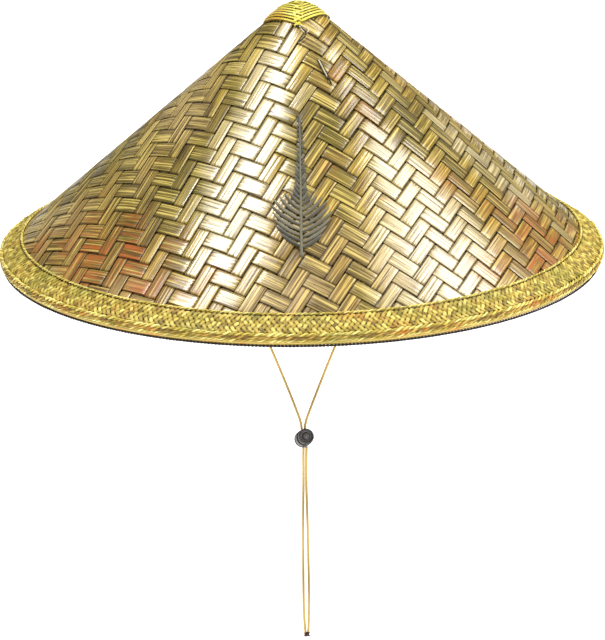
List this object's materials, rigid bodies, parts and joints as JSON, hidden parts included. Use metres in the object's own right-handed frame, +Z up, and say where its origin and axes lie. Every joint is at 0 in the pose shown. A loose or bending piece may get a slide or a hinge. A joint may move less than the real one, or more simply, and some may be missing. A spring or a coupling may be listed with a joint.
{
  "type": "conical hat",
  "caption": "Woven bamboo conical sun hat with a straw-bound rim, a head ring inside and a chin cord with a sliding spring cord lock.",
  "frame": {"origin": "middle of the head ring, on the hat's axis", "axes": "+Z up along the hat's axis to the peak, front at -Y"},
  "size_m": [0.42, 0.42, 0.4669],
  "materials": {
    "bamboo_splint": "satin",
    "dried_leaf": "matt",
    "bamboo_lattice": "satin",
    "bamboo_hoop": "satin",
    "straw_braid": "matt",
    "raffia": "satin",
    "dark_thread": "matt",
    "light_thread": "matt",
    "fern_applique": "matt",
    "rattan": "satin",
    "gold_cord": "satin",
    "melted_end": "satin",
    "black_plastic": "satin",
    "spring_steel": "satin"
  },
  "bodies": {
    "hat": {"outer_weave": "bamboo_splint", "leaf_lining": "dried_leaf", "inner_lattice": "bamboo_lattice", "outer_rim_hoop": "bamboo_hoop", "inner_rim_hoop": "bamboo_hoop", "rim_binding": "straw_braid", "binding_outer_cord": "straw_braid", "binding_inner_cord": "straw_braid", "peak_cap": "raffia", "peak_tie": "dark_thread", "front_tie": "light_thread", "leaf_motif": "fern_applique", "ring_band": "bamboo_hoop", "ring_upper_hoop": "bamboo_hoop", "ring_lower_hoop": "bamboo_hoop", "ring_tie_1": "rattan", "ring_tie_2": "rattan", "ring_tie_3": "rattan", "ring_tie_4": "rattan", "ring_tie_5": "rattan", "ring_tie_6": "rattan", "cord_stop_left": "gold_cord", "cord_stop_right": "gold_cord"},
    "chin_cord": {"cord_left_upper": "gold_cord", "cord_right_upper": "gold_cord", "cord_left_lower": "gold_cord", "cord_right_lower": "gold_cord", "end_knot": "melted_end"},
    "cord_lock": {"lock_body": "black_plastic", "lock_spring": "spring_steel"},
    "lock_button": {"lock_button": "black_plastic"}
  },
  "joints": [
    {"name": "cord_swing", "type": "hinge", "parent": "hat", "child": "chin_cord", "pos_m": [0, 0, 0], "axis": [1, 0, 0], "range_deg": [-60, 60]},
    {"name": "lock_slide", "type": "slide", "parent": "chin_cord", "child": "cord_lock", "axis": [0, 0, 1], "range_m": [-0.115, 0.075], "deforming": ["cord_left_upper", "cord_right_upper", "cord_left_lower", "cord_right_lower"]},
    {"name": "button_press", "type": "slide", "parent": "cord_lock", "child": "lock_button", "axis": [-0.1869, 0.8792, -0.4384], "range_m": [0, 0.0021], "stiffness_N_per_m": 600, "springref_m": -0.001, "deforming": ["lock_spring"]}
  ]
}
